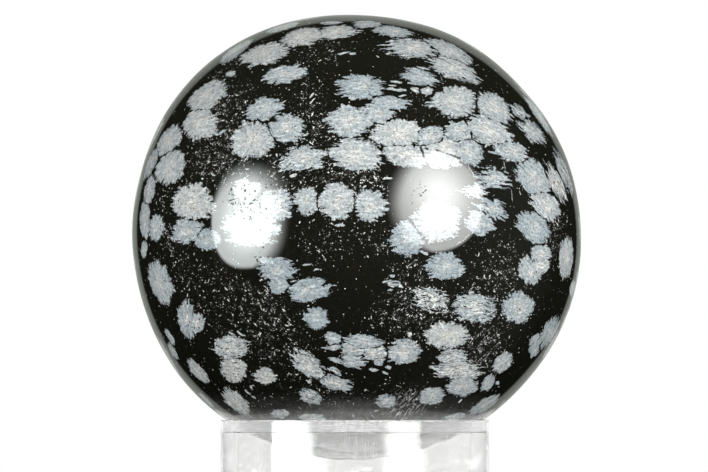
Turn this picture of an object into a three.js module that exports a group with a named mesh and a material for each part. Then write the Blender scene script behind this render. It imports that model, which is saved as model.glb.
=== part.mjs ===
// A polished sphere of snowflake obsidian standing on a short clear acrylic ring.
// Millimetres, +Z up. The origin is the centre of the ring's underside, on the surface that it stands on.
// The sphere is one stone. Its pale snowflakes are crystals in the glass, ground flush, so they are colour only.
import * as THREE from "three";

// The sphere
const SPHERE_DIAMETER = 85;

// The ring: a length of clear tube, 2 in outside with a 1/8 in wall, its top bored out to a slope
const RING_OUTER_DIAMETER = 50.8;
const RING_WALL = 3.175;
const RING_HEIGHT = 25.4;
const SEAT_SLOPE = 2.3; // across and down, so the slope is at 45 degrees
const EDGE_BREAK = 0.3; // across and down, where the sharp edges are taken off
const SEAT_GAP = 0.1; // between the sphere and the edge that carries it

// Facets
const AROUND = 88; // a multiple of 4, so that the sphere's meridians and the ring's facets line up
const SPHERE_BANDS = 44;

const sphereRadius = SPHERE_DIAMETER / 2;
const ringOuter = RING_OUTER_DIAMETER / 2;
const ringInner = ringOuter - RING_WALL;
const seatRadius = ringInner + SEAT_SLOPE;

// The sphere's centre is over the ring's, as high as keeps its skin SEAT_GAP off the seat's edge.
const sphereCentreHeight =
  RING_HEIGHT + Math.sqrt((sphereRadius + SEAT_GAP) ** 2 - seatRadius ** 2);

// three.js turns its spheres and lathes about Y, and this stands their axis up along Z.
function standUpright(geometry) {
  return geometry.rotateX(Math.PI / 2);
}

function makeSphere() {
  const polishedObsidian = new THREE.MeshStandardMaterial({
    color: 0x2e2e2d,
    roughness: 0.06,
    metalness: 0,
  });
  const sphere = new THREE.Mesh(
    standUpright(new THREE.SphereGeometry(sphereRadius, AROUND, SPHERE_BANDS)),
    polishedObsidian,
  );
  sphere.name = "snowflake_obsidian_sphere";
  sphere.position.z = sphereCentreHeight;
  return sphere;
}

// The wall's section, from the bore's foot round the outside and down the slope, closed on itself.
function ringSection() {
  const footOfBore = new THREE.Vector2(ringInner + EDGE_BREAK, 0);
  return [
    footOfBore,
    new THREE.Vector2(ringOuter - EDGE_BREAK, 0),
    new THREE.Vector2(ringOuter, EDGE_BREAK),
    new THREE.Vector2(ringOuter, RING_HEIGHT - EDGE_BREAK),
    new THREE.Vector2(ringOuter - EDGE_BREAK, RING_HEIGHT),
    new THREE.Vector2(seatRadius, RING_HEIGHT),
    new THREE.Vector2(ringInner, RING_HEIGHT - SEAT_SLOPE),
    new THREE.Vector2(ringInner, EDGE_BREAK),
    footOfBore.clone(),
  ];
}

function makeRing() {
  const clearAcrylic = new THREE.MeshStandardMaterial({
    color: 0xf2f6f7,
    roughness: 0.08,
    metalness: 0,
    transparent: true,
    opacity: 0.35,
  });
  const ring = new THREE.Mesh(
    standUpright(new THREE.LatheGeometry(ringSection(), AROUND)),
    clearAcrylic,
  );
  ring.name = "clear_acrylic_ring";
  return ring;
}

const sphereOnRing = new THREE.Group();
sphereOnRing.add(makeRing(), makeSphere());

export default sphereOnRing;
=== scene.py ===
"""A polished sphere of snowflake obsidian resting on a clear acrylic ring, in a white studio.

Lengths are metres in the scene and its settings, and millimetres inside the stone's pattern.
"""

import math
from collections import namedtuple

import bpy
import numpy as np
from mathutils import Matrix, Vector


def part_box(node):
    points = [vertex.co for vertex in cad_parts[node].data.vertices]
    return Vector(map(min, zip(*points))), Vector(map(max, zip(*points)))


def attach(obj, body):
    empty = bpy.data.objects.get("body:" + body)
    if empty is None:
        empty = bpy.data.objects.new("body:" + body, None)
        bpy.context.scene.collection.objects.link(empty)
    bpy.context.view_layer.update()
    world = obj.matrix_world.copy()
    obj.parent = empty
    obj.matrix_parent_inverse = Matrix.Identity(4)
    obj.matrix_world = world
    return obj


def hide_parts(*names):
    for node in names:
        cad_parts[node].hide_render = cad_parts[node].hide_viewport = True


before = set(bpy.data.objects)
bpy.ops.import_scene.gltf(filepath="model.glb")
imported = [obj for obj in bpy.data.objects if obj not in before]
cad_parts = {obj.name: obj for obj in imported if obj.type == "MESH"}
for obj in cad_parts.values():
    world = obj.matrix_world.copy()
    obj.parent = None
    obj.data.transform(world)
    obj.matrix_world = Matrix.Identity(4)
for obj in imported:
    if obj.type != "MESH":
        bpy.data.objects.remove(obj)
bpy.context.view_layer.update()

bl_info = {
    "name": "Snowflake Obsidian Sphere",
    "version": (1, 0, 0),
    "blender": (4, 5, 0),
    "location": "View3D > Sidebar > Obsidian",
    "description": "Dresses a polished obsidian sphere and its clear ring, and lights them for a picture",
    "category": "Add Mesh",
}

SPHERE_NODE = "snowflake_obsidian_sphere"
RING_NODE = "clear_acrylic_ring"
MM = 1000  # millimetres in a metre


def middle_and_half_width(node):
    """The centre of a CAD node's box, and half its width across."""
    low, high = (np.array(corner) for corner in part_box(node))
    return (low + high) / 2, (high[0] - low[0]) / 2


SPHERE_CENTRE, SPHERE_RADIUS = middle_and_half_width(SPHERE_NODE)
RING_CENTRE, RING_RADIUS = middle_and_half_width(RING_NODE)
RING_HEIGHT = 2 * RING_CENTRE[2]

# The photograph: its size, and the sphere's centre and radius in it, in pixels
PICTURE_ACROSS, PICTURE_DOWN = 708, 472
SPHERE_ACROSS, SPHERE_DOWN, SPHERE_PIXELS = 354.8, 236.3, 224.3

# The camera is level with the ring's top, which shows as a straight line, and looks up at the sphere
CAMERA_DISTANCE = 1.5
LOOK_UP = math.asin((SPHERE_CENTRE[2] - RING_HEIGHT) / CAMERA_DISTANCE)
TO_CAMERA = np.array([0, -math.cos(LOOK_UP), -math.sin(LOOK_UP)])
PICTURE_UP = np.array([0, -math.sin(LOOK_UP), math.cos(LOOK_UP)])
PICTURE_RIGHT = np.array([1, 0, 0])

# A lobe of a snowflake as it shows from the front: where its middle is in the photograph, in pixels
# across and down, its length and breadth in millimetres, and its turn in degrees, anticlockwise from
# level. Then, from 0 to about 1: how pale it is, how far its ends comb out, and how broken it is.
Lobe = namedtuple("Lobe", "across down long broad turn pale comb broken", defaults=(0.5, 0.5, 0.2))

# The snowflakes on the side that the photograph shows. One of several lobes has them in square brackets.
FLAKES = (
    # round the top edge
    (236, 52, 7.0, 1.8, 38), (283, 27, 6.4, 1.3, 18), (264, 54, 9.1, 3.9, 15, 0.75),
    [(303, 36, 8.3, 3.4, 12, 0.9, 0.6), (337, 31, 7.4, 2.6, 5, 0.8, 0.9)], (331, 22, 4.2, 0.8, 3),
    (367, 23, 5.7, 1.6, 0), (393, 30, 7.6, 2.2, -6, 0.5, 0.7), (413, 48, 10.2, 3.7, -5, 0.6, 0.9),
    (393, 41, 1.5, 0.5, 0), (450, 50, 8.9, 3.0, -27, 0.6), (454, 68, 9.5, 3.8, -20, 0.6, 0.9),
    # under them
    (231, 74, 1.7, 1.2, 10), (284, 74, 8.0, 3.2, 8, 0.45, 0.5), (361, 86, 8.5, 4.5, 0, 0.2, 0.8),
    (353, 97, 1.5, 0.8, 0), (419, 77, 6.8, 3.0, -12, 0.3, 0.8), (427, 91, 2.6, 1.4, 0),
    # down the left edge
    (206, 96, 8.3, 4.2, 38, 0.7, 0.5), (199, 123, 6.4, 5.9, 30, 0.7, 0.4),
    (168, 141, 6.8, 3.6, 52, 0.6, 0.3), (169, 167, 7.0, 5.2, 55, 0.6, 0.3), (151, 163, 6.4, 1.7, 66),
    (149, 190, 5.3, 2.2, 78, 0.55, 0.2), (144, 219, 7.0, 2.2, 90, 0.5, 0.2),
    (156, 228, 4.6, 3.2, 75, 0.5, 0.4, 0.4), (143, 249, 3.2, 1.3, 80),
    (192, 202, 8.0, 6.8, 0, 0.75, 0.4, 0.3), (186, 231, 6.1, 4.7, 0, 0.4, 0.6),
    (207, 240, 5.1, 4.3, 0, 0.2, 0.4),
    # the upper band
    (263, 109, 6.8, 4.2, 20, 0.35, 0.5), (252, 140, 8.0, 7.0, 5, 0.6, 0.2, 0.0),
    (287, 128, 6.6, 5.6, -5, 0.4, 0.6, 0.3), (303, 158, 8.7, 4.4, 8, 0.5, 1.0, 0.5),
    [(391, 103, 7.2, 2.4, -4, 0.3, 0.4, 0.0), (378, 113, 5.7, 3.8, -10, 0.4),
     (349, 121, 8.3, 6.2, 5, 0.5, 0.6)], (398, 133, 9.8, 5.3, 0, 0.75, 0.2, 0.0),
    (408, 156, 9.5, 4.4, -8, 0.6, 0.5), (356, 154, 9.9, 6.2, -5, 0.6, 0.6),
    (431, 136, 6.2, 4.2, 0, 0.45, 0.7, 0.6), (460, 131, 6.8, 3.8, 5, 0.45, 0.6),
    (489, 131, 9.5, 5.4, -22, 0.6, 0.6),
    [(447, 149, 8.7, 4.4, -10, 0.75, 0.5), (469, 152, 6.1, 4.9, -30, 0.4, 0.6)],
    (511, 151, 7.6, 3.8, -18, 0.5, 0.7), (455, 101, 8.7, 5.9, -5, 0.6, 0.5),
    (495, 108, 7.8, 5.0, -38, 0.55, 0.7), (520, 112, 3.8, 2.0, -35, 0.4, 1.0, 0.9),
    (533, 131, 6.4, 3.0, -42, 0.5, 1.0),
    # the middle, some of them under the two highlights
    (246, 190, 5.2, 4.2, 0, 0.5, 0.6, 0.5),
    [(281, 204, 4.3, 6.1, 0, 0.5, 0.7, 0.5), (270, 204, 3.8, 5.6, 0, 0.5, 0.7, 0.5)],
    (250, 229, 10.4, 6.6, 0, 0.5, 0.6), (306, 201, 4.4, 5.2, 0, 0.5, 0.5),
    (337, 201, 6.8, 6.6, 0, 0.6, 0.5, 0.4), (370, 205, 5.9, 5.9, 0, 0.5, 0.6, 0.3),
    (407, 239, 6.2, 6.6, 0, 0.15, 0.5), (437, 221, 8.8, 8.0, 0), (440, 157, 9.5, 4.0, -5, 0.7, 0.6),
    (445, 266, 7.2, 5.0, -5, 0.2, 0.4),
    # down the right edge
    (494, 178, 5.8, 4.0, -8, 0.35, 1.6, 0.5), (476, 191, 4.2, 2.8, -12, 0.6, 1.6, 0.5),
    (492, 208, 5.6, 3.6, -25, 0.2, 1.6, 0.5), (480, 223, 5.4, 4.4, -15, 0.3, 0.6),
    (535, 178, 8.3, 5.6, -42, 0.4, 0.6), (546, 205, 7.0, 4.4, -50, 0.6, 0.6),
    (556, 183, 7.6, 2.7, -62, 0.85, 0.9, 0.8), (564, 173, 8.0, 1.7, -68, 0.4, 1.0, 0.8),
    (539, 115, 8.6, 1.4, -57, 0.4, 0.6), (534, 227, 6.8, 5.2, -38, 0.2, 0.5),
    [(541, 254, 4.0, 3.4, 0, 0.45, 0.4, 0.5), (541, 266, 3.4, 2.8, 0, 0.7, 0.4, 0.6),
     (530, 271, 5.2, 4.2, -70, 0.5, 0.4, 0.4)], (566, 257, 7.6, 2.7, 86, 0.65, 0.3),
    (571, 288, 3.0, 1.0, 80), (549, 332, 6.4, 2.6, 62, 0.35, 0.6, 0.4),
    [(536, 341, 3.0, 2.2, 60, 0.35, 0.6, 0.6), (534, 350, 2.6, 2.0, 70, 0.35, 0.5)],
    # the lower half
    (159, 283, 8.7, 4.3, 105, 0.45, 0.3),
    [(187, 320, 7.0, 3.6, 98, 0.4, 0.4, 0.6), (196, 324, 4.0, 3.0, 60, 0.5, 0.4, 0.6)],
    (169, 337, 3.4, 1.0, 118), (172, 351, 3.4, 1.2, 120),
    [(276, 269, 7.2, 4.6, 0, 0.15, 0.6), (279, 284, 3.8, 3.8, 0, 0.15, 0.5)],
    (309, 290, 7.6, 4.8, 5, 0.15, 0.7), (316, 318, 4.7, 4.1, 0, 0.15, 0.5), (333, 338, 3.0, 2.0, 0, 0.3),
    (331, 347, 3.2, 1.0, 0, 0.5, 1.0), (363, 342, 7.2, 2.6, -5, 0.4, 0.8),
    [(352, 350, 4.6, 2.2, -5, 0.5, 0.9, 0.5), (375, 354, 4.8, 3.0, 0, 0.7, 0.6, 0.7),
     (353, 362, 4.6, 2.6, -5, 0.4, 0.9, 0.4)], (337, 361, 3.0, 1.2, -15, 0.6, 1.0, 0.6),
    (336, 371, 2.8, 1.0, -30, 0.5, 1.0, 0.8), (378, 363, 1.7, 1.0, 0), (404, 352, 6.0, 5.0, 0, 0.5, 0.6),
    (394, 284, 2.4, 1.4, 0, 0.5, 0.6, 1.0), (431, 299, 6.8, 4.6, -15, 0.75, 1.0, 1.0),
    (476, 308, 8.0, 5.6, -5, 0.45, 0.6, 0.8), (519, 308, 5.8, 6.0, 0, 0.4, 0.4, 0.4),
    (448, 336, 8.1, 5.2, 0, 0.8, 0.2, 0.1),
    [(453, 357, 5.4, 3.0, 0, 0.6, 0.6, 0.8), (458, 370, 9.4, 4.2, -5, 0.8, 0.7, 0.8),
     (463, 386, 5.5, 4.2, 0, 0.5, 0.4, 0.5)], (503, 363, 4.3, 3.0, 52, 0.5, 0.3),
    (488, 383, 3.8, 2.0, 55, 0.4, 0.4), (433, 396, 5.1, 3.3, 5, 0.55, 0.4),
    (484, 406, 6.4, 2.2, 33, 0.6, 0.5), (455, 417, 4.4, 1.4, 5, 0.65, 0.5),
    (230, 348, 6.6, 4.6, 0, 0.7, 0.4, 0.7), (233, 370, 5.2, 4.6, -20, 0.9, 0.4, 0.6),
    (265, 376, 4.6, 3.0, -12, 0.8, 0.4, 0.4), (198, 372, 5.6, 2.1, -47, 0.7, 0.5, 0.7),
    (206, 400, 3.8, 0.8, -44, 0.3), (237, 403, 6.6, 3.0, -42, 0.8, 0.6, 0.6),
    (280, 414, 3.4, 1.7, 0, 0.6, 0.5, 0.6), (308, 365, 7.6, 3.8, -38, 0.7, 0.8, 0.6),
    (336, 383, 6.1, 2.8, -15, 0.6, 0.6, 0.5), (311, 397, 4.6, 2.6, -25, 0.5, 0.5, 0.8),
    (311, 418, 5.0, 1.6, 0, 0.7, 0.5), (386, 401, 3.6, 2.6, 0, 0.5, 0.5, 0.8),
)

# Thin crystals on their own, in the same terms
SLIVERS = (
    (424, 68, 2.6, 0.5, -15), (415, 89, 1.7, 0.9, -30, 0.8), (396, 82, 2.3, 0.5, -10),
    (392, 86, 1.5, 0.4, -5), (398, 90, 3.8, 0.45, -5), (403, 96, 1.5, 0.3, 5), (345, 53, 2.6, 0.4, 5),
    (354, 54, 0.9, 0.4, 0), (306, 135, 1.2, 0.4, 35, 1), (294, 176, 1.3, 0.6, 0, 1),
    (339, 225, 2.0, 0.5, 0), (388, 178, 2.1, 0.45, 0, 1), (306, 265, 2.0, 0.35, 5),
    (316, 271, 1.0, 0.3, 20), (311, 96, 1.4, 0.35, 50, 1), (313, 101, 1.1, 0.3, 60, 1),
    (240, 333, 1.5, 0.4, -35), (231, 333, 1.3, 0.4, -30), (202, 173, 0.7, 0.3, 50),
    (213, 175, 1.1, 0.3, -40, 1), (248, 392, 1.5, 0.3, -35), (254, 397, 0.9, 0.3, -35),
    (424, 252, 1.5, 0.6, -10), (388, 367, 1.7, 0.7, 0), (373, 370, 1.9, 0.5, -5),
    (385, 373, 1.3, 0.5, -20), (392, 275, 1.0, 0.6, 0), (409, 334, 0.8, 0.8, 0, 1),
    (497, 383, 0.9, 0.6, 0), (305, 69, 0.8, 0.4, 0), (460, 401, 0.9, 0.3, 50, 1),
    (373, 416, 1.0, 0.3, -45), (354, 416, 0.8, 0.25, -60), (366, 390, 0.5, 0.4, 0, 1),
    (376, 411, 0.9, 0.35, 0), (309, 382, 0.9, 0.5, 0, 1), (471, 171, 3.0, 0.14, -62, 1),
    (464, 239, 3.6, 0.12, 36, 0.8), (505, 166, 2.2, 0.1, -72, 0.3), (512, 197, 2.0, 0.09, -80, 0.3),
    (442, 78, 1.8, 0.1, -70, 0.3), (387, 281, 1.6, 0.45, 25, 0.6), (400, 287, 1.3, 0.45, -40, 0.6),
    (390, 291, 1.1, 0.4, 5, 0.4), (226, 96, 1.0, 0.5, 20, 0.2), (222, 132, 1.6, 0.5, 25, 0.2),
    (216, 134, 1.0, 0.4, 0, 0.2),
)

# A cloud of dust-fine crystals: where its middle is in the photograph, in pixels across and down, its
# reach in millimetres and how thick it is, to 1. A clear patch is less than 0.
DUST_CLOUDS = (
    (228, 108, 4.5, 0.8), (212, 152, 5.5, 0.9), (232, 165, 3.5, 0.9), (316, 128, 3.5, 0.8),
    (305, 98, 4.0, 0.45), (320, 50, 4.5, 0.4), (366, 184, 4.2, 1.0), (335, 174, 4.5, 0.75),
    (292, 176, 4.0, 0.55), (272, 172, 2.2, 0.7), (170, 240, 2.6, 0.9), (163, 200, 2.6, 0.5),
    (262, 298, 5.5, 0.6), (222, 312, 6.0, 0.4), (225, 270, 5.0, 0.35), (285, 335, 6.0, 0.3),
    (262, 345, 5.0, 0.25), (330, 240, 6.5, 0.28), (385, 245, 3.2, 0.5), (396, 310, 4.0, 0.7),
    (415, 275, 3.5, 0.6), (420, 325, 4.0, 0.5), (450, 312, 2.8, 0.8), (488, 350, 4.2, 0.95),
    (500, 275, 6.5, 0.55), (552, 245, 3.2, 0.6), (556, 225, 3.0, 0.5), (185, 270, 3.8, 0.35),
    (245, 385, 4.5, 0.35), (405, 400, 4.5, 0.6), (300, 385, 4.0, 0.3), (230, 70, 2.8, 0.6),
    (420, 110, 3.5, 0.3), (475, 345, 3.0, 0.6), (330, 400, 5.0, 0.25), (248, 217, 6.0, -0.5),
    (247, 248, 5.5, -0.7), (430, 185, 6.0, -0.6), (360, 280, 6.0, -0.2), (420, 378, 3.5, -0.3),
)

# Clusters of pits left by the polishing, which show in the highlights, in the same terms
PIT_CLOUDS = (
    (240, 206, 2.4, 1.0), (251, 213, 2.0, 0.9), (233, 196, 1.6, 0.7), (260, 192, 1.4, 0.8),
    (242, 193, 1.4, 0.6), (419, 190, 1.1, 1.0), (257, 256, 2.0, 0.4), (412, 201, 0.7, 0.6),
)

# A patch of fine scratches near the foot
SCRATCH_CLOUDS = ((410, 405, 3.0, 0.8), (402, 413, 2.8, 0.9), (350, 412, 4.0, 0.12))

# The stone's skin is a little out of round. A swell is its way from the middle in degrees, anticlockwise
# from the right as the photograph shows it, its height in millimetres and its reach in degrees. A flat
# place's height is less than 0.
SWELLS = (
    (-12, 0.45, 24), (20, 0.2, 14), (43, -0.22, 10), (86, -0.6, 19),
    (132, 0.5, 24), (163, -0.25, 11), (193, -0.42, 22),
)

# Settings


class SphereSettings(bpy.types.PropertyGroup):
    """The obsidian sphere's finish."""

    glass: bpy.props.FloatVectorProperty(
        name="Glass", description="Colour of the black glass", default=(0.0048, 0.0054, 0.0030),
        subtype="COLOR", size=3, min=0, max=1)
    flake: bpy.props.FloatVectorProperty(
        name="Flake", description="Colour of the bluest snowflakes", default=(0.385, 0.45, 0.48),
        subtype="COLOR", size=3, min=0, max=1)
    flake_pale: bpy.props.FloatVectorProperty(
        name="Pale flake", description="Colour of the palest snowflakes", default=(0.68, 0.69, 0.66),
        subtype="COLOR", size=3, min=0, max=1)
    polish: bpy.props.FloatProperty(
        name="Polish", description="Roughness of the polished glass", default=0.03, min=0, max=1)
    cells: bpy.props.IntProperty(
        name="Cells", description="Cells along each side of the sphere's six grids", default=96, min=8,
        max=128)
    seed: bpy.props.IntProperty(
        name="Seed", description="Sets the snowflakes that the photograph doesn't show", default=7)


class RingSettings(bpy.types.PropertyGroup):
    """The clear ring's section and finish."""

    wall: bpy.props.FloatProperty(
        name="Wall", description="Thickness of the tube's wall", default=0.003175, min=0.001, unit="LENGTH")
    slope: bpy.props.FloatProperty(
        name="Slope", description="How far the seat slopes, across and down", default=0.0023, min=0,
        unit="LENGTH")
    edge: bpy.props.FloatProperty(
        name="Edge", description="Radius of the rounded edges", default=0.0001, min=0.00001, unit="LENGTH")
    tint: bpy.props.FloatVectorProperty(
        name="Tint", description="Colour of the acrylic", default=(0.95, 0.95, 0.945),
        subtype="COLOR", size=3, min=0, max=1)
    clearness: bpy.props.FloatProperty(
        name="Clearness", description="Share of the light that goes through, the rest being haze",
        default=0.92, min=0, max=1, subtype="FACTOR")


class StudioSettings(bpy.types.PropertyGroup):
    """The lights and the floor."""

    floor_radius: bpy.props.FloatProperty(
        name="Floor radius", description="Radius of the pale floor", default=1.2, min=0.1, unit="LENGTH")
    plate_radius: bpy.props.FloatProperty(
        name="Plate radius", description="Radius of the bright plate under the ring", default=0.0265,
        min=0.01, unit="LENGTH")
    light_distance: bpy.props.FloatProperty(
        name="Light distance", description="From the sphere to each light", default=0.9, min=0.2,
        unit="LENGTH")
    backdrop: bpy.props.FloatProperty(
        name="Backdrop", description="How bright the polish shows the white behind", default=0.42, min=0)


# Meshes


def add_piece(name, points, faces, normals):
    """Makes a mesh object of four-sided faces at the origin, smoothly shaded by the normals given."""
    mesh = bpy.data.meshes.new(name)
    mesh.vertices.add(len(points))
    mesh.vertices.foreach_set("co", points.ravel())
    mesh.loops.add(faces.size)
    mesh.loops.foreach_set("vertex_index", faces.ravel())
    mesh.polygons.add(len(faces))
    mesh.polygons.foreach_set("loop_start", np.arange(0, faces.size, 4))
    mesh.polygons.foreach_set("use_smooth", np.ones(len(faces), bool))
    mesh.update(calc_edges=True)
    mesh.validate()
    mesh.normals_split_custom_set_from_vertices(normals)
    return add_object(name, mesh)


def add_object(name, data):
    """An object with this mesh, lamp or camera, in the scene's collection."""
    thing = bpy.data.objects.new(name, data)
    bpy.context.scene.collection.objects.link(thing)
    return thing


def unit(vectors):
    """The vectors, one to a row, at length 1."""
    return vectors / np.linalg.norm(vectors, axis=1, keepdims=True)


def grid_faces(first, rows, columns, around=False):
    """The four corners of each cell of a grid whose points are numbered from first, row by row.

    Cell (i, j) joins points (i, j), (i + 1, j), (i + 1, j + 1) and (i, j + 1). Around closes it both ways.
    """
    i, j = np.meshgrid(np.arange(rows - 1 + around), np.arange(columns - 1 + around), indexing="ij")
    down, across = (i + 1) % rows, (j + 1) % columns
    corners = [i * columns + j, down * columns + j, down * columns + across, i * columns + across]
    return first + np.stack(corners, -1).reshape(-1, 4)


STEP = 0.001  # a short step along the skin of a ball of radius 1
FOOT_RISE = (-0.8, 0.25)  # where the swells start, and how much higher they are whole, on the same ball


def swollen(ways, radius):
    """The point of the stone's skin that lies each way from its middle.

    It is at the radius and the sum of the swells, each its height times exp(-(chord / reach)^2), both being
    of a ball of radius 1. The sum dies out low down, where the stone rests on the ring.
    """
    ways = unit(ways)
    rise = np.zeros(len(ways))
    for turn, height, reach in SWELLS:
        turn = math.radians(turn)
        middle = math.cos(turn) * PICTURE_RIGHT + math.sin(turn) * PICTURE_UP
        chord = np.linalg.norm(ways - middle, axis=1)
        rise += height / MM * np.exp(-((chord / math.radians(reach)) ** 2))
    start, over = FOOT_RISE
    rise *= np.clip((ways[:, 2] - start) / over, 0, 1) ** 2
    return ways * (radius + rise)[:, None]


def ball(centre, radius, cells):
    """A ball as six square grids, with the stone's swells. (points, faces, normals)

    A grid's parameters a and b run from -45 to 45 degrees. (tan a, tan b, 1), turned to face one of the
    six ways, is the way of the point there. Points that two grids share along an edge are made one. The
    normal is the cross product of two short steps along the skin.
    """
    tangent = np.tan(np.linspace(-math.pi / 4, math.pi / 4, cells + 1))
    a, b = np.meshgrid(tangent, tangent, indexing="ij")
    one = np.ones_like(a)
    sides = [(a, b, one), (b, a, -one), (one, a, b), (-one, b, a), (b, one, a), (a, -one, b)]
    ways = unit(np.concatenate([np.stack(side, -1).reshape(-1, 3) for side in sides]))
    rounded = np.round(ways * 1e6).astype(int)
    _, kept, where = np.unique(rounded, axis=0, return_index=True, return_inverse=True)
    faces = np.concatenate([grid_faces(k * one.size, cells + 1, cells + 1) for k in range(6)])
    ways = ways[kept]
    points = swollen(ways, radius)
    aside = np.where(np.abs(ways[:, 2:]) < 0.9, (0, 0, 1), (1, 0, 0))
    first = np.cross(ways, aside)
    second = np.cross(ways, first)
    one_way, other_way = (swollen(ways + STEP * step, radius) - points for step in (first, second))
    return centre + points, where.ravel()[faces], unit(np.cross(one_way, other_way))


def rounded_section(corners, radii, steps):
    """A convex section with each corner rounded by an arc, anticlockwise. (points, outward normals)

    The arc's centre lies on the line that halves the corner, at its radius / sin(half the corner's angle).
    Its points are at the radius from there, at angles that go evenly from one side's normal to the next's.
    """
    out = unit(np.roll(corners, -1, 0) - corners)
    back = -np.roll(out, 1, 0)
    half = np.arccos(np.clip((out * back).sum(1), -1, 1)) / 2
    centres = corners + unit(out + back) * (radii / np.sin(half))[:, None]
    start = np.arctan2(back[:, 0], -back[:, 1])  # the normal of the side before, a quarter turn right of it
    angles = start[:, None] + (math.pi - 2 * half)[:, None] * np.linspace(0, 1, steps + 1)
    normals = np.stack([np.cos(angles), np.sin(angles)], -1)
    return (centres[:, None] + radii[:, None, None] * normals).reshape(-1, 2), normals.reshape(-1, 2)


def lathe(section, section_normals, turns):
    """Carries a closed section of (radius, height) round the upright axis. (points, faces, normals)

    The point at angle t is (radius cos t, radius sin t, height).
    """
    t = np.arange(turns) * 2 * math.pi / turns
    parts = ((np.cos(t), 0), (np.sin(t), 0), (np.ones(turns), 1))
    points, normals = (
        np.stack([np.outer(share, flat[:, column]) for share, column in parts], -1).reshape(-1, 3)
        for flat in (section, section_normals)
    )
    return points, grid_faces(0, turns, len(section), around=True), normals


# The snowflakes' places


def seen_to_stone(across, down):
    """Where the camera's ray through a pixel meets the sphere, in millimetres from its centre.

    The nearer root of the ray's quadratic is taken, or the point where it passes closest when it misses.
    """
    scale = SPHERE_PIXELS / math.tan(math.asin(SPHERE_RADIUS / CAMERA_DISTANCE))
    right, up = (across - SPHERE_ACROSS) / scale, (SPHERE_DOWN - down) / scale
    ray = unit(np.outer(right, PICTURE_RIGHT) + np.outer(up, PICTURE_UP) - TO_CAMERA)
    eye = TO_CAMERA * CAMERA_DISTANCE * MM
    along = -ray @ eye
    inside = along**2 - eye @ eye + (SPHERE_RADIUS * MM) ** 2
    return unit(eye + ray * (along - np.sqrt(np.maximum(inside, 0)))[:, None]) * SPHERE_RADIUS * MM


Lobes = namedtuple("Lobes", "middle long broad nature flake")

# The way across the stone's layers. The snowflakes that the photograph doesn't show lie along the layers.
FLOW = np.array([0, 0.763, 0.646])


def lobes_seen():
    """The lobes of the rows above, laid on the sphere.

    A lobe's (long, broad) are vectors along it: a point's two distances from the middle, in half lengths
    and half breadths, are its dot products with them. They are the picture's right and up, turned, less
    their part along the sphere's own normal.
    """
    rows = [
        (number, *Lobe(*lobe)) for number, flake in enumerate(FLAKES + SLIVERS)
        for lobe in (flake if isinstance(flake, list) else [flake])
    ]
    flake, across, down, length, breadth, turn, *nature = np.array(rows, float).T
    middle = seen_to_stone(across, down)
    along, athwart = turned(PICTURE_RIGHT, PICTURE_UP, np.radians(turn)[:, None])
    along, athwart = along * (2 / length)[:, None], athwart * (2 / breadth)[:, None]
    return Lobes(middle, on_skin(along, middle), on_skin(athwart, middle), np.stack(nature, -1), flake)


def turned(right, up, turn):
    """Two crossed vectors turned anticlockwise in their plane, by radians."""
    return right * np.cos(turn) + up * np.sin(turn), up * np.cos(turn) - right * np.sin(turn)


def on_skin(vectors, middle):
    """The vectors less their part along the sphere's normal at each middle."""
    normal = unit(middle)
    return vectors - normal * (vectors * normal).sum(1, keepdims=True)


def reach_of(lobes, points):
    """How far out each point is in each lobe, 1 being on its outline. Past the sphere's side it is far."""
    away = [points @ axis.T - (lobes.middle * axis).sum(1) for axis in (lobes.long, lobes.broad)]
    return np.where(points @ lobes.middle.T > 0, np.hypot(*away), np.inf)


TRIES = 2600  # snowflakes and slivers tried on the side that isn't seen
UNSEEN = -0.12  # how far back that side starts, on a ball of radius 1
CLEARANCE = 0.85  # how far out in a new lobe the six points lie that have to be clear


def lobes_unseen(seen, seed):
    """Scatters snowflakes and slivers over the rest of the sphere.

    Each try takes an even random direction, a random size and a small turn from the layers. It is kept
    where it and six points round it are clear of every lobe so far.
    """
    draw = np.random.default_rng(seed)
    way = unit(draw.normal(size=(TRIES, 3)))
    long = np.where(draw.random(TRIES) < 0.8, draw.uniform(2.6, 4.9, TRIES), draw.uniform(0.5, 1.4, TRIES))
    broad = long * np.where(long > 2, draw.uniform(0.6, 0.98, TRIES), draw.uniform(0.2, 0.6, TRIES))
    turn = draw.normal(0, 0.35, TRIES)[:, None]
    streak = unit(np.cross(FLOW, way))
    rise = np.cross(way, streak)
    along, athwart = turned(streak, rise, turn)
    nature = draw.uniform((0.15, 0.2, -0.2), (0.8, 1.0, 0.8), (TRIES, 3))
    round_it = np.arange(6) * math.pi / 3
    lobes, number = seen, seen.flake.max()
    for k in np.flatnonzero(way[:, 1] > UNSEEN):
        middle = way[k] * SPHERE_RADIUS * MM
        ring = np.outer(np.cos(round_it), along[k] * long[k])
        ring += np.outer(np.sin(round_it), athwart[k] * broad[k])
        if reach_of(lobes, np.vstack([middle, middle + ring * CLEARANCE])).min() > 1:
            number += 1
            new = Lobes(middle[None], along[k : k + 1] / long[k], athwart[k : k + 1] / broad[k],
                        nature[k : k + 1], np.array([number]))
            lobes = Lobes(*(np.concatenate(pair) for pair in zip(lobes, new)))
    return lobes


def cloud_thickness(points, clouds, loose, draw):
    """How thick the dust is at each point: the sum of round clouds that thin out as a bell curve.

    After the photograph's clouds come loose ones, at random ways over the side that it doesn't show.
    """
    across, down, reach, thickness = np.array(clouds, float).T
    way = draw.normal(size=(loose, 3))
    way[:, 1] = np.abs(way[:, 1])
    middle = np.concatenate([seen_to_stone(across, down), unit(way) * SPHERE_RADIUS * MM])
    reach = np.concatenate([reach, draw.uniform(2.5, 6, loose)])
    thickness = np.concatenate([thickness, draw.uniform(0.25, 0.9, loose)])
    total = np.zeros(len(points))
    for place, size, much in zip(middle, reach, thickness):
        total += much * np.exp(-((np.linalg.norm(points - place, axis=1) / size) ** 2))
    return np.clip(total, 0, 1)


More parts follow.
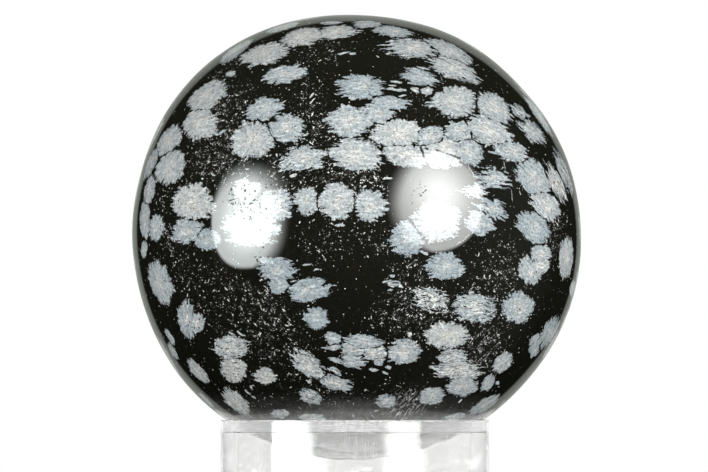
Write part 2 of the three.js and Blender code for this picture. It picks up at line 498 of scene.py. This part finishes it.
NEAR = 4  # lobes that each face keeps
LOBE_PARTS = ("middle", "long", "broad", "nature", "facts")


def store(mesh, name, kind, domain, values):
    """Writes an attribute of a mesh from an array."""
    field = {"FLOAT": "value", "FLOAT_VECTOR": "vector"}[kind]
    layer = mesh.attributes.new(name, kind, domain)
    layer.data.foreach_set(field, np.ascontiguousarray(values, np.float32).ravel())


def keep_nearest_lobes(mesh, points, faces, lobes):
    """Stores each face's nearest lobes on it, the facts being (flake, half length, half breadth).

    Nearness is a rough distance in millimetres to the lobe's outline: (reach - 1) times its half breadth.
    """
    half_long, half_broad = (1 / np.linalg.norm(axis, axis=1) for axis in (lobes.long, lobes.broad))
    away = (reach_of(lobes, points[faces].mean(1)) - 1) * half_broad
    nearest = np.argsort(away, 1)[:, :NEAR]
    facts = np.stack([lobes.flake, half_long, half_broad], -1)
    for k in range(NEAR):
        for name, values in zip(LOBE_PARTS, (*lobes[:4], facts)):
            store(mesh, f"lobe_{k}_{name}", "FLOAT_VECTOR", "FACE", values[nearest[:, k]])


# Materials


def arithmetic(operation, swapped=False):
    """A method of Value that adds the node for an operation on two values, or on one."""

    def method(self, *others):
        values = (self, *others)
        return self.nodes.maths(operation, *(values[::-1] if swapped else values))

    return method


class Value:
    """A node's output. Arithmetic on it, on the left or the right of the sign, adds a node."""

    __add__ = __radd__ = arithmetic("ADD")
    __mul__ = __rmul__ = arithmetic("MULTIPLY")
    __sub__ = arithmetic("SUBTRACT")
    __rsub__ = arithmetic("SUBTRACT", swapped=True)
    __truediv__ = arithmetic("DIVIDE")
    __pow__ = arithmetic("POWER")
    __lt__ = arithmetic("LESS_THAN")
    __gt__ = arithmetic("GREATER_THAN")
    __abs__ = arithmetic("ABSOLUTE")
    dot = arithmetic("DOT_PRODUCT")
    cross = arithmetic("CROSS_PRODUCT")
    unit = arithmetic("NORMALIZE")
    length = arithmetic("LENGTH")

    def __init__(self, nodes, socket):
        self.nodes, self.socket = nodes, socket

    def beside(self, name):
        """Another output of the same node, by name or number."""
        return Value(self.nodes, self.socket.node.outputs[name])

    def split(self):
        """A vector's three numbers."""
        first = self.nodes.add("ShaderNodeSeparateXYZ", inputs={0: self})
        return [first.beside(k) for k in range(3)]


WHITE = (1, 1, 1, 1)
KINDS = ("FLOAT", "VECTOR", "RGBA")  # a number, a vector and a colour, as Blender names them


def kind_of(value):
    if isinstance(value, Value):
        return value.socket.type if value.socket.type in KINDS else "FLOAT"
    return {3: "VECTOR", 4: "RGBA"}[len(value)] if isinstance(value, tuple) else "FLOAT"


def widest(values):
    """The kind that holds all of the values: a colour if any is one, or else a vector if any is one."""
    return max((kind_of(value) for value in values), key=KINDS.index)


class Nodes:
    """Adds nodes to a tree. An input is given a number, a vector, a colour, or a Value, which is linked."""

    def __init__(self, tree):
        self.tree = tree
        tree.nodes.clear()

    def add(self, kind, *, out=0, inputs=None, **settings):
        """A node with its settings and inputs (by name or number). It returns one of its outputs."""
        node = self.tree.nodes.new(kind)
        for name, value in settings.items():
            setattr(node, name, value)
        for key, value in (inputs or {}).items():
            if isinstance(value, Value):
                self.tree.links.new(value.socket, node.inputs[key])
            else:
                node.inputs[key].default_value = value
        return Value(self, node.outputs[out]) if node.outputs else None

    def maths(self, operation, *values):
        """An operation on numbers or on vectors. A vector times a number is scaled by it."""
        inputs = dict(enumerate(values))
        if widest(values) == "FLOAT":
            return self.add("ShaderNodeMath", operation=operation, inputs=inputs)
        if operation == "MULTIPLY" and widest(values[1:]) == "FLOAT":
            operation, inputs = "SCALE", {0: values[0], "Scale": values[1]}
        out = "Value" if operation in ("DOT_PRODUCT", "LENGTH") else "Vector"
        return self.add("ShaderNodeVectorMath", operation=operation, out=out, inputs=inputs)

    def most(self, *values):
        return self.maths("MAXIMUM", *values)

    def least(self, *values):
        return self.maths("MINIMUM", *values)

    def join(self, x, y, z=0.0):
        """A vector from three numbers."""
        return self.add("ShaderNodeCombineXYZ", inputs={0: x, 1: y, 2: z})

    def mix(self, share, a, b):
        """a where share is 0, b where it is 1."""
        kind = widest((a, b))
        out = KINDS.index(kind)
        first = 2 + 2 * out
        return self.add("ShaderNodeMix", data_type=kind, out=out, inputs={0: share, first: a, first + 1: b})

    def ramp(self, value, low, high):
        """0 below low, 1 above high and smooth between them. Low may be the greater, for a fall."""
        return self.add("ShaderNodeMapRange", interpolation_type="SMOOTHSTEP",
                        inputs={"Value": value, "From Min": low, "From Max": high})

    def noise(self, place, scale, detail=2.0, roughness=0.5, out="Fac"):
        return self.add("ShaderNodeTexNoise", out=out, inputs={
            "Vector": place, "Scale": scale, "Detail": detail, "Roughness": roughness})

    def patches(self, place, scale, low, high, detail=2.0, roughness=0.5):
        """1 where noise is past high, 0 where it hasn't reached low. Scale may be a number for each axis."""
        return self.ramp(self.noise(place * scale, 1.0, detail, roughness), low, high)

    def swing(self, place, scale, much, detail=2.0):
        """Noise from -much to much, about."""
        return (self.noise(place, scale, detail) - 0.5) * (2 * much)

    def drift(self, place, scale, much, detail=2.0):
        """The place moved about by noise, by up to about half of much."""
        return place + (self.noise(place, scale, detail, out="Color") - (0.5, 0.5, 0.5)) * much

    def lines(self, place, scale, width):
        """1 on the thin lines where noise passes its middle, and 0 away from them."""
        return self.ramp(abs(self.noise(place * scale, 1.0, 1.0) - 0.5), width, width * 0.3)

    def attribute(self, name, out="Vector"):
        return self.add("ShaderNodeAttribute", attribute_name=name, out=out)

    def place(self):
        """The place on the object."""
        return self.add("ShaderNodeTexCoord", out="Object")

    def end(self, shader):
        self.add("ShaderNodeOutputMaterial", inputs={"Surface": shader})

    def surface(self, **inputs):
        """Ends the tree in a Principled shader with these inputs, their names' spaces as underscores."""
        named = {name.replace("_", " "): value for name, value in inputs.items()}
        self.end(self.add("ShaderNodeBsdfPrincipled", inputs=named))

    def glow(self, strength, colour=WHITE):
        """Ends the tree in a shader that only shines."""
        self.end(self.add("ShaderNodeEmission", inputs={"Color": colour, "Strength": strength}))


def new_material(name):
    material = bpy.data.materials.new(name)
    material.use_nodes = True
    return material, Nodes(material.node_tree)


FAR = 9.0  # a reach past any lobe that counts


def nearest_lobe(nodes, place):
    """Which lobe a place is in: (reach, place in it, facts, nature, reach of the next other flake).

    The least reach wins. The next one counts only where its flake's number is another.
    """
    found = []
    for k in range(NEAR):
        middle, long, broad, nature, facts = (nodes.attribute(f"lobe_{k}_{name}") for name in LOBE_PARTS)
        away = place - middle
        spot = nodes.join(away.dot(long), away.dot(broad))
        found.append((spot.length(), spot, facts, nature))
    reach, *rest = found[0]
    for other_reach, *others in found[1:]:
        closer = other_reach < reach
        reach = nodes.least(reach, other_reach)
        rest = [nodes.mix(closer, one, other) for one, other in zip(rest, others)]
    spot, facts, nature = rest
    number = facts.split()[0]
    rival = FAR
    for other_reach, _, other_facts, _ in found:
        same = nodes.maths("COMPARE", other_facts.split()[0], number, 0.5)
        rival = nodes.least(rival, same * FAR + other_reach)
    return reach, spot, facts, nature, rival


def flakes(nodes, place):
    """The snowflakes: (mask, how pale, shade).

    A lobe ends where its reach passes 1, give or take petals that run out from its middle, fingers that
    run along it, and fine grain. Cracks of both kinds run in from its edge, and deep in a broken one. Two
    snowflakes that meet keep a thin broken seam. The shade is about 1, and follows the petals and layers.
    Noise has a smaller scale along the lobe than across it where it draws streaks along it.
    """
    bent = nodes.drift(nodes.drift(place, 0.45, 1.2), 1.5, 0.4)
    reach, spot, facts, nature, rival = nearest_lobe(nodes, bent)
    number, half_long, half_broad = facts.split()
    pale, comb, broken = nature.split()
    u, v, _ = spot.split()
    seed = number * 5.3
    spot = nodes.join(u * half_long, v * half_broad, seed)
    way = (spot * (1, 1, 0)).unit()
    lengthwise = abs(way.split()[0])
    rays = way * half_broad + nodes.join(0.0, 0.0, reach * 0.8 + seed)
    petals = nodes.noise(rays, 1.5, 3.0, 0.75)
    layers = nodes.patches(spot, (0.35, 1.9, 1), 0.32, 0.68, 2.0, 0.6)
    # The outline
    fringe = (petals - 0.5) * 0.68
    fingers = (layers - 0.55) * (comb * 0.6) * (lengthwise * 0.8 + 0.2)
    limit = fringe + fingers + nodes.swing(place, 5.0, 0.09, 1.0) + nodes.swing(rays, 0.6, 0.14, 1.0)
    inward = limit + 1.02 - reach
    inside = nodes.ramp(inward, -0.01, 0.03)
    # Cracks
    radial = nodes.lines(rays, 2.4, 0.035)
    both = nodes.most(radial, nodes.lines(spot, (0.5, 3.0, 1), 0.05))
    near_edge = nodes.ramp(inward + nodes.swing(place, 1.2, 0.3), 0.25, 0.0)
    crack = nodes.ramp(both * near_edge, 0.3, 0.7)
    holes = nodes.noise(spot * (0.9, 3.4, 1) + (7, 3, 0), 1.0, 2.0, 0.6) + broken * 0.2
    crack = nodes.most(crack, nodes.ramp(holes, 0.74, 0.77))
    # Seams
    width = nodes.patches(place, 0.9, 0.42, 0.62) * 0.12
    seam = nodes.ramp(rival - reach - width, -0.02, 0.02)
    mask = inside * seam * (1.0 - crack)
    # Shade: streaks and grain, and painted glints, small painted highlights, in the broken ones
    streaks = nodes.noise(spot * (0.7, 2.9, 1), 1.0, 2.0, 0.6)
    streaks = nodes.mix(nodes.ramp(comb, 0.1, 0.7), petals, streaks) - 0.5
    grain = nodes.noise(place, 2.4, 2.0, 0.85) - 0.5
    painted_glint = nodes.patches(spot, (1.3, 2.8, 1), 0.6, 0.7, 1.0)
    shade = both * -0.25 + 1.03 + streaks * 1.1 + grain * 2.1 + painted_glint * (broken * 0.8)
    heart = nodes.ramp(reach + nodes.swing(rays, 1.6, 0.6), 0.65, 0.0)
    pale = pale + (heart * 0.6 - 0.22) + streaks * 1.5 + nodes.swing(place, 1.1, 0.5, 3.0)
    return mask, pale, shade


def crystals(nodes, place, thickness, cell, width, length):
    """Tiny crystals, one to a cell: 0 between them, up to 1 in a bright one.

    A cell has one if its random number is under the thickness. It lies on the sphere's skin as a slim
    ellipse round the cell's point, turned a random way. Most are small and dim, and a few large and bright.
    """
    cells = nodes.add("ShaderNodeTexVoronoi", inputs={"Vector": place, "Scale": 1 / cell})
    there, glow, _ = cells.beside("Color").split()
    point = cells.beside("Position")
    up = place.unit()
    axis = nodes.add("ShaderNodeTexWhiteNoise", out="Color", inputs={"Vector": point})
    axis = (axis - (0.5, 0.5, 0.5)).cross(up).unit()
    away = place - point
    away = away - up * away.dot(up)
    slim = (away - axis * (away.dot(axis) * (1 - width / length))).length()
    radius = glow**3.0 * (width * 1.1) + width * 0.5
    shape = nodes.ramp(slim / radius, 1.2, 0.7)
    return shape * (there < thickness) * (glow**2.5 * 0.97 + 0.03)


def scratches(nodes, place):
    """Fine straight scratches that run up to the right and a few down to the right: 1 on them, 0 between."""
    found = 0.0
    for turn, limit in ((50, 0.56), (-45, 0.64)):
        level, rise = math.cos(math.radians(turn)), math.sin(math.radians(turn))
        along, across = place.dot((level, 0, rise)), place.dot((-rise, 0, level))
        flat = nodes.join(along * 0.8, across * 6.0, turn)
        found = nodes.most(found, nodes.patches(flat, 1.0, limit, limit + 0.08, 1.0))
    return found


def obsidian_material(look):
    """Black glass with pale snowflakes, dust, a few pits with painted shade, painted glints in broken flakes,
    a painted glow near the foot and a patch of scratches, all polished flush.
    """
    material, nodes = new_material("polished_snowflake_obsidian")
    place = (nodes.place() - tuple(SPHERE_CENTRE)) * MM
    mask, pale, shade = flakes(nodes, place)
    # Dust: fine specks in the clouds, coarser and brighter needles among them
    uneven = nodes.attribute("dust", "Fac") * nodes.patches(place, 0.9, 0.4, 0.62, 3.0, 0.65)
    fine = crystals(nodes, place, uneven * 0.8 + 0.02, 0.26, 0.065, 0.1)
    needles = crystals(nodes, place, uneven * 0.9 + 0.006, 0.6, 0.075, 0.4)
    fog = nodes.patches(place, 3.2, 0.48, 0.8, 3.0, 0.75) * (uneven * 0.12 + 0.014)
    scratched = scratches(nodes, place) * nodes.attribute("scratched", "Fac")
    # Painted light: a pale glow painted into the glass that grows towards the ring, from 29.5 mm below the
    # middle
    height = place.split()[2]
    foot = nodes.ramp(height, -29.5, -32.5) * 0.15 + nodes.ramp(height, -32.3, -35.2)
    foot = foot * (nodes.noise(place, 1.0, 3.0, 0.6) * 0.3 + 0.05)
    specks_and_painted_glow = nodes.most(nodes.most(fine, needles), scratched * 0.7) + (fog + foot)
    # The glass, brownish in places, with its dust and the painted glow near the foot
    brown = nodes.patches(place, 1.3, 0.52, 0.78, 3.0, 0.6)
    glass = nodes.mix(brown, (*look.glass, 1), (0.015, 0.0085, 0.0045, 1))
    glassy = nodes.mix(specks_and_painted_glow, glass, (0.95, 0.96, 0.94, 1))
    # The snowflakes, from blue to pale
    body = nodes.mix(pale, (*look.flake, 1), (*look.flake_pale, 1))
    colour = nodes.mix(mask, glassy, body * shade)
    # Pits, where the polish is lost, with painted shade: their colour is nearly black
    pitted = nodes.attribute("pits", "Fac") * nodes.patches(place, 1.3, 0.4, 0.6)
    pit_and_painted_shade = nodes.ramp(crystals(nodes, place, pitted, 0.5, 0.13, 0.3), 0.02, 0.06)
    colour = nodes.mix(pit_and_painted_shade, colour, (0.004, 0.004, 0.004, 1))
    rough = pit_and_painted_shade * 0.6 + nodes.mix(mask, look.polish, look.polish * 2)
    relief = nodes.noise(place, 6.0, 2.0) * 0.02 - pit_and_painted_shade
    bump = nodes.add("ShaderNodeBump", inputs={"Strength": 0.25, "Distance": 0.00002, "Height": relief})
    nodes.surface(Base_Color=colour, Roughness=rough, Normal=bump, IOR=1.5)
    return material


# Upright scratches on the ring's front, in millimetres: how far right of the middle, half their width, and
# the heights that they run between
FRONT_SCRATCHES = ((0.15, 0.25, 17.9, 22.9), (2.4, 0.12, 20.0, 21.6), (3.55, 0.12, 20.0, 21.6))


def acrylic_material(look):
    """Clear acrylic with a slight haze: a worked seat and rims, scuffs, upright scratches and faint waves."""
    material, nodes = new_material("clear_acrylic")
    place = nodes.place() * MM
    x, y, z = place.split()
    side = RING_RADIUS * MM
    out = nodes.join(x, y).length() - side
    top = RING_HEIGHT * MM
    above = z - (top - look.slope * MM)  # how far above the seat's foot
    seat = nodes.ramp(above, -0.3, -0.05) * nodes.ramp(out, -0.35, -0.5)
    rims = nodes.most(nodes.ramp(z, top - 0.35, top - 0.2), nodes.ramp(z, 0.3, 0.15))
    grooves = nodes.noise(place * (0.35, 0.35, 5), 1.0, 3.0, 0.65)
    worked = nodes.most(seat, rims) * nodes.ramp(grooves, 0.3, 0.6)
    corner = nodes.ramp(abs(above), 0.2, 0.08) * nodes.ramp(out, -1.5, -2)
    scuffs = nodes.patches(place, (1.6, 1.6, 4.8), 0.5, 0.75, 4.0, 0.65)
    some = nodes.patches(place, (0.9, 0.9, 0.12), 0.66, 0.7, 1.0)
    scratch = nodes.lines(place, (2.2, 2.2, 0.05), 0.02) * some
    front = y < 0.0
    for across, half_width, low, high in FRONT_SCRATCHES:
        mark = nodes.ramp(abs(x - across), half_width, half_width / 2)
        mark = mark * nodes.ramp(z, low, low + 0.8) * nodes.ramp(z, high, high - 0.4)
        scratch = nodes.most(scratch, mark * front)
    rough = scuffs * 0.08 + 0.03 + (worked * 0.4 + scratch * 0.35)
    tint = nodes.mix(scuffs, (*look.tint, 1), (0.97, 0.97, 0.965, 1))
    waves = nodes.noise(place * (0.2, 0.2, 0.4), 1.0, 1.0)
    waves = scratch * 0.06 + waves * 0.6 + worked * (grooves * 0.25)
    bump = nodes.add("ShaderNodeBump", inputs={"Strength": 0.3, "Distance": 0.0002, "Height": waves})
    nodes.surface(Base_Color=tint, Roughness=nodes.most(rough, corner), IOR=1.49,
                  Transmission_Weight=look.clearness, Normal=bump)
    return material


# Operators


class AddObsidianSphere(bpy.types.Operator):
    """Add the polished sphere in place of its CAD node"""

    bl_idname = "mesh.add_obsidian_sphere"
    bl_label = "Obsidian sphere"

    def execute(self, context):
        look = context.scene.obsidian_sphere
        points, faces, normals = ball(SPHERE_CENTRE, SPHERE_RADIUS, look.cells)
        piece = add_piece("obsidian_sphere", points, faces, normals)
        from_centre = (points - SPHERE_CENTRE) * MM
        lobes = lobes_unseen(lobes_seen(), look.seed)
        keep_nearest_lobes(piece.data, from_centre, faces, lobes)
        draw = np.random.default_rng(look.seed + 1)
        # Each kind of mark with its clouds, and how many loose ones the unseen side has
        marks = (("dust", DUST_CLOUDS, 40), ("pits", PIT_CLOUDS, 5), ("scratched", SCRATCH_CLOUDS, 6))
        for name, clouds, loose in marks:
            store(piece.data, name, "FLOAT", "POINT", cloud_thickness(from_centre, clouds, loose, draw))
        piece.data.materials.append(obsidian_material(look))
        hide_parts(SPHERE_NODE)
        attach(piece, "root")
        return {"FINISHED"}


class AddAcrylicRing(bpy.types.Operator):
    """Add the clear ring in place of its CAD node"""

    bl_idname = "mesh.add_acrylic_ring"
    bl_label = "Acrylic ring"

    def execute(self, context):
        look = context.scene.acrylic_ring
        bore, seat = RING_RADIUS - look.wall, RING_RADIUS - look.wall + look.slope
        corners = np.array([
            (bore, 0), (RING_RADIUS, 0), (RING_RADIUS, RING_HEIGHT), (seat, RING_HEIGHT),
            (bore, RING_HEIGHT - look.slope),
        ])
        rounding = np.array([1, 1, 1, 1, 3])  # three times as round where the seat meets the bore
        section = rounded_section(corners, look.edge * rounding, steps=8)
        piece = add_piece("acrylic_ring", *lathe(*section, turns=256))
        piece.data.materials.append(acrylic_material(look))
        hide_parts(RING_NODE)
        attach(piece, "root")
        return {"FINISHED"}


class AddStudio(bpy.types.Operator):
    """Add the floor, the lights, the white surroundings and the camera"""

    bl_idname = "scene.add_obsidian_studio"
    bl_label = "Studio"

    def execute(self, context):
        look = context.scene.obsidian_studio
        context.scene.view_settings.view_transform = "Standard"
        add_floor(look)
        add_lights(look)
        add_cards()
        add_surroundings(context.scene, look)
        add_camera(context.scene)
        return {"FINISHED"}


# The studio


def stage_sheet(name, points, hidden_from):
    """A flat stage sheet with these corners, hidden from some kinds of ray. (sheet, its material's nodes)"""
    mesh = bpy.data.meshes.new(name)
    mesh.from_pydata(points, [], [range(len(points))])
    sheet = add_object(name, mesh)
    hide(sheet, hidden_from)
    material, nodes = new_material(name)
    mesh.materials.append(material)
    return sheet, nodes


def hide(thing, kinds):
    """Hides a thing from kinds of ray: camera, diffuse, glossy, transmission or shadow."""
    for kind in kinds:
        setattr(thing, f"visible_{kind}", False)


def flat_disc(name, radius, height, hidden_from, sides=64):
    """A stage sheet lying level at a height. It returns its nodes."""
    turn = np.arange(sides) * 2 * math.pi / sides
    points = np.stack([radius * np.cos(turn), radius * np.sin(turn), np.full(sides, height)], -1)
    return stage_sheet(name, points, hidden_from)[1]


PLATE_LIFT = 0.00001  # of the bright plate above the floor
OUTER_RADIUS = 0.055  # of the wider plate


def add_floor(look):
    """A pale floor that the polish doesn't show, and two bright plates on it.

    The floor glows, less near the middle, which paints a soft shadow round the ring. The plates glow but
    light
    nothing: painted light that only the polish and the clear ring show. The polish and the clear ring show
    the bright plate, which dims outwards in zones. Under the ring's wall it is dimmer towards the sides, a
    painted shade of the wall, less so at the very side, and bright behind, where the stone's foot shows it.
    Only the clear ring shows the outer plate, which is bright behind.
    """
    nodes = flat_disc("pale_floor", look.floor_radius, 0, ("glossy", "diffuse"))
    # Painted shadow: the floor glows less near the middle, round the ring
    nodes.surface(Base_Color=(0.85, 0.85, 0.85, 1), Roughness=0.9, Emission_Color=WHITE,
                  Emission_Strength=nodes.ramp(nodes.place().length(), 0.05, 0.35) * 0.5 + 0.3)
    nodes = flat_disc("bright_plate", look.plate_radius, PLATE_LIFT, ("camera", "diffuse", "shadow"))
    place = nodes.place()
    x, y, _ = place.split()
    side = abs(x)
    # Painted shade under the ring's wall, dimmer towards the sides, and painted light behind it
    wall = nodes.mix(nodes.ramp(side, 0.008, 0.017), 0.4, 0.25)
    wall = nodes.ramp(side, 0.019, 0.0245) * 0.3 + wall
    wall = nodes.mix(nodes.ramp(y, 0.0, 0.015), wall, 1.3)
    glow = 2.3
    for start, end, beyond in ((0.0165, 0.0215, 1.3), (0.0215, 0.023, wall), (0.0252, 0.0265, 0.35)):
        glow = nodes.mix(nodes.ramp(place.length(), start, end), glow, beyond)
    nodes.glow(glow)
    hidden_from = ("camera", "diffuse", "shadow", "glossy")
    nodes = flat_disc("outer_plate", OUTER_RADIUS, PLATE_LIFT / 2, hidden_from)
    nodes.glow(nodes.mix(nodes.ramp(nodes.place().split()[1], 0.0, 0.02), 0.6, 1.6))


# A light: its way from the sphere in degrees, right of the camera and up, half the angles that its
# reflector fills across and up, the power of its soft lamp in watts, its glow, how far that fades on one
# side, the left if less than 0, and on top, how far its top leans to the right, how square its corners are
# (2 is an ellipse), where its brightest spot is, across and up in half widths and half heights from its
# middle, and the glow's tint
Lamp = namedtuple(
    "Lamp", "name right up half_across half_up power glow fade_side fade_top lean square core tint")
LAMPS = (
    Lamp("left", -55.1, 10.4, 23.0, 24.7, 5.8, 12.6, 0.57, 0.6, -0.05, 2.8, (-0.03, -0.08), (0.94, 1, 0.98)),
    Lamp("right", 42.5, 17.6, 27.2, 25.5, 8.4, 11.2, -0.5, 0.22, 0.12, 2.0, (0.07, 0.1), (0.98, 1, 0.98)),
)
# The soft lamp behind: its way in the same terms, half its size in metres, and its power
BACK_LAMP = (175, 25, 0.4, 5)


def add_lights(look):
    """Two reflectors that the polish shows, a soft lamp with each that lights the stone, and one behind."""
    for lamp in LAMPS:
        way = way_to(lamp.right, lamp.up)
        half = look.light_distance * np.tan(np.radians([lamp.half_across, lamp.half_up]))
        add_reflector(lamp, way, half, look)
        add_soft_lamp(f"{lamp.name}_soft", way, half, lamp.power, look)
    right, up, half, power = BACK_LAMP
    add_soft_lamp("back_soft", way_to(right, up), (half, half), power, look)


def way_to(right, up):
    """The unit vector that many degrees right of the camera and up, seen from the sphere."""
    right, up = math.radians(right), math.radians(up) - LOOK_UP
    return np.array([math.sin(right) * math.cos(up), -math.cos(right) * math.cos(up), math.sin(up)])


def aim(thing, way, look):
    """Puts an object at a light's distance that way from the sphere, with its own -Z towards the sphere."""
    thing.location = SPHERE_CENTRE + way * look.light_distance
    thing.rotation_euler = Vector(-way).to_track_quat("-Z", "Y").to_euler()


def add_soft_lamp(name, way, half, power, look):
    """An elliptical lamp that only lights: neither the camera, the polish nor the clear ring shows it."""
    data = bpy.data.lights.new(name, "AREA")
    data.shape = "ELLIPSE"
    data.size, data.size_y = 2 * half[0], 2 * half[1]
    data.energy = power
    soft = add_object(name, data)
    aim(soft, way, look)
    hide(soft, ("glossy", "transmission", "camera"))


def rounded_box(x, y, power):
    """How far out a place is in a box with rounded corners, 1 being its edge: (|x|^p + |y|^p)^(1 / p)."""
    return (abs(x) ** power + abs(y) ** power) ** (1 / power)


# A reflector's bright core: how far it reaches in half widths, and how much brighter its middle is. Then the
# least glow, outside its outline.
CORE_REACH, CORE_GAIN, LEAST_GLOW = 0.85, 1.3, 0.1


def add_reflector(lamp, way, half, look):
    """A glowing sheet that only the polish and the clear ring show.

    Its outline is a rounded box. Inside it the glow fades over a part of the way to the middle, wider on the
    lamp's soft sides, and it is brighter in its core.
    """
    corners = np.array([(-1, -1), (1, -1), (1, 1), (-1, 1)]) * half
    points = np.pad(corners, ((0, 0), (0, 1)))
    sheet, nodes = stage_sheet(f"{lamp.name}_reflector", points, ("camera", "diffuse", "shadow"))
    aim(sheet, way, look)
    place = nodes.place() * (1 / half[0], 1 / half[1], 0)
    x, y, _ = place.split()
    x = x - y * lamp.lean
    fade = nodes.most(y, 0.0) * lamp.fade_top + 0.1 + nodes.most(x * lamp.fade_side, 0.0)
    edge = nodes.ramp(rounded_box(x, y, lamp.square), 1.0, 1.0 - fade)
    core = nodes.ramp((place - (*lamp.core, 0)).length(), CORE_REACH, 0.0)
    glow = (core * CORE_GAIN + 1.0) * lamp.glow * edge
    nodes.glow(nodes.most(glow, LEAST_GLOW), (*lamp.tint, 1))


# The cards: how far behind the ring's axis they stand, the gap to its side, their width and their glow
CARD_BACK, CARD_GAP, CARD_WIDTH, CARD_GLOW = 0.005, 0.0002, 0.003, 0.9


def add_cards():
    """Two glowing white cards as tall as the ring, behind its sides, that light nothing. Only its outermost
    edges show them, as a painted reflection.
    """
    near, far = RING_RADIUS + CARD_GAP, RING_RADIUS + CARD_GAP + CARD_WIDTH
    corners = ((near, 0), (far, 0), (far, RING_HEIGHT), (near, RING_HEIGHT))
    for name, side in (("left_card", -1), ("right_card", 1)):
        points = [(side * across, CARD_BACK, height) for across, height in corners]
        _, nodes = stage_sheet(name, points, ("camera", "diffuse", "shadow", "transmission"))
        nodes.glow(CARD_GLOW)


# Where the polish shows the white behind: the tangents of half the angles across and up, and how square the
# corners are
BACKDROP_ACROSS, BACKDROP_UP, BACKDROP_SQUARE = 0.46, 0.56, 3.5


def add_surroundings(scene, look):
    """White all round for the camera and through the ring, with a dark room in front for the polish.

    The polish shows the white behind inside a rounded box round the way that the camera looks, and greens it
    a little. The room is a little lighter up to the right, and darker up and down.
    """
    world = bpy.data.worlds.new("studio")
    scene.world = world
    world.use_nodes = True
    nodes = Nodes(world.node_tree)
    x, y, z = nodes.add("ShaderNodeTexCoord", out="Generated").split()
    up = (z / y - math.tan(LOOK_UP)) / BACKDROP_UP
    off = rounded_box(x / y / BACKDROP_ACROSS, up, BACKDROP_SQUARE)
    behind = nodes.ramp(off, 1.1, 0.9) * (y > 0.0)
    room = (z * 0.3 + x) * 0.06 + 0.09
    room = room * (z * z * -0.6 + 1.0) * nodes.ramp(y, 0.7, 0.1)
    polish = behind * look.backdrop + nodes.most(room, 0.01)
    rays = nodes.add("ShaderNodeLightPath")
    diffuse, glossy, clear = (rays.beside(f"Is {kind} Ray") for kind in ("Diffuse", "Glossy", "Transmission"))
    strength = nodes.mix(diffuse, 1.0, nodes.mix(nodes.ramp(z, 0.3, -0.3), 0.17, 0.42))
    strength = nodes.mix(glossy, strength, polish)
    # A ray through the ring counts as glossy too, so what it sees is mixed in last
    strength = nodes.mix(clear, strength, nodes.mix(nodes.ramp(y, -0.2, 0.6), 0.1, 1.0))
    tint = nodes.mix(glossy, WHITE, (0.95, 1, 0.92, 1))
    tint = nodes.mix(clear, tint, WHITE)
    glow = nodes.add("ShaderNodeBackground", inputs={"Color": tint, "Strength": strength})
    nodes.add("ShaderNodeOutputWorld", inputs={"Surface": glow})


def add_camera(scene):
    """A camera whose picture has the sphere where the photograph has it.

    The lens is the sensor's width times the sphere's radius in pixels, over the picture's width and the
    tangent of the angle that the sphere's radius fills.
    """
    data = bpy.data.cameras.new("camera")
    angle = math.asin(SPHERE_RADIUS / CAMERA_DISTANCE)
    data.lens = data.sensor_width * SPHERE_PIXELS / PICTURE_ACROSS / math.tan(angle)
    camera = add_object("camera", data)
    pixel = SPHERE_RADIUS / SPHERE_PIXELS
    right = (PICTURE_ACROSS / 2 - SPHERE_ACROSS) * pixel
    up = (SPHERE_DOWN - PICTURE_DOWN / 2) * pixel
    camera.location = SPHERE_CENTRE + TO_CAMERA * CAMERA_DISTANCE + right * PICTURE_RIGHT + up * PICTURE_UP
    camera.rotation_euler = (math.pi / 2 + LOOK_UP, 0, 0)
    scene.camera = camera


class ObsidianPanel(bpy.types.Panel):
    """Lists the pieces and their settings."""

    bl_idname = "VIEW3D_PT_obsidian"
    bl_label = "Obsidian sphere"
    bl_space_type = "VIEW_3D"
    bl_region_type = "UI"
    bl_category = "Obsidian"

    def draw(self, context):
        for operator, settings in PIECES:
            box = self.layout.box()
            box.operator(operator.bl_idname)
            group = getattr(context.scene, settings)
            for name in group.__annotations__:
                box.prop(group, name)


PIECES = (
    (AddObsidianSphere, "obsidian_sphere"),
    (AddAcrylicRing, "acrylic_ring"),
    (AddStudio, "obsidian_studio"),
)
SETTINGS = {
    "obsidian_sphere": SphereSettings, "acrylic_ring": RingSettings, "obsidian_studio": StudioSettings,
}


def register():
    for group in SETTINGS.values():
        bpy.utils.register_class(group)
    for name, group in SETTINGS.items():
        setattr(bpy.types.Scene, name, bpy.props.PointerProperty(type=group))
    for operator, _ in PIECES:
        bpy.utils.register_class(operator)
    bpy.utils.register_class(ObsidianPanel)


def unregister():
    bpy.utils.unregister_class(ObsidianPanel)
    for operator, _ in PIECES:
        bpy.utils.unregister_class(operator)
    for name, group in SETTINGS.items():
        delattr(bpy.types.Scene, name)
        bpy.utils.unregister_class(group)


def main():
    register()
    bpy.ops.mesh.add_obsidian_sphere()
    bpy.ops.mesh.add_acrylic_ring()
    bpy.ops.scene.add_obsidian_studio()


if __name__ == "__main__":
    main()
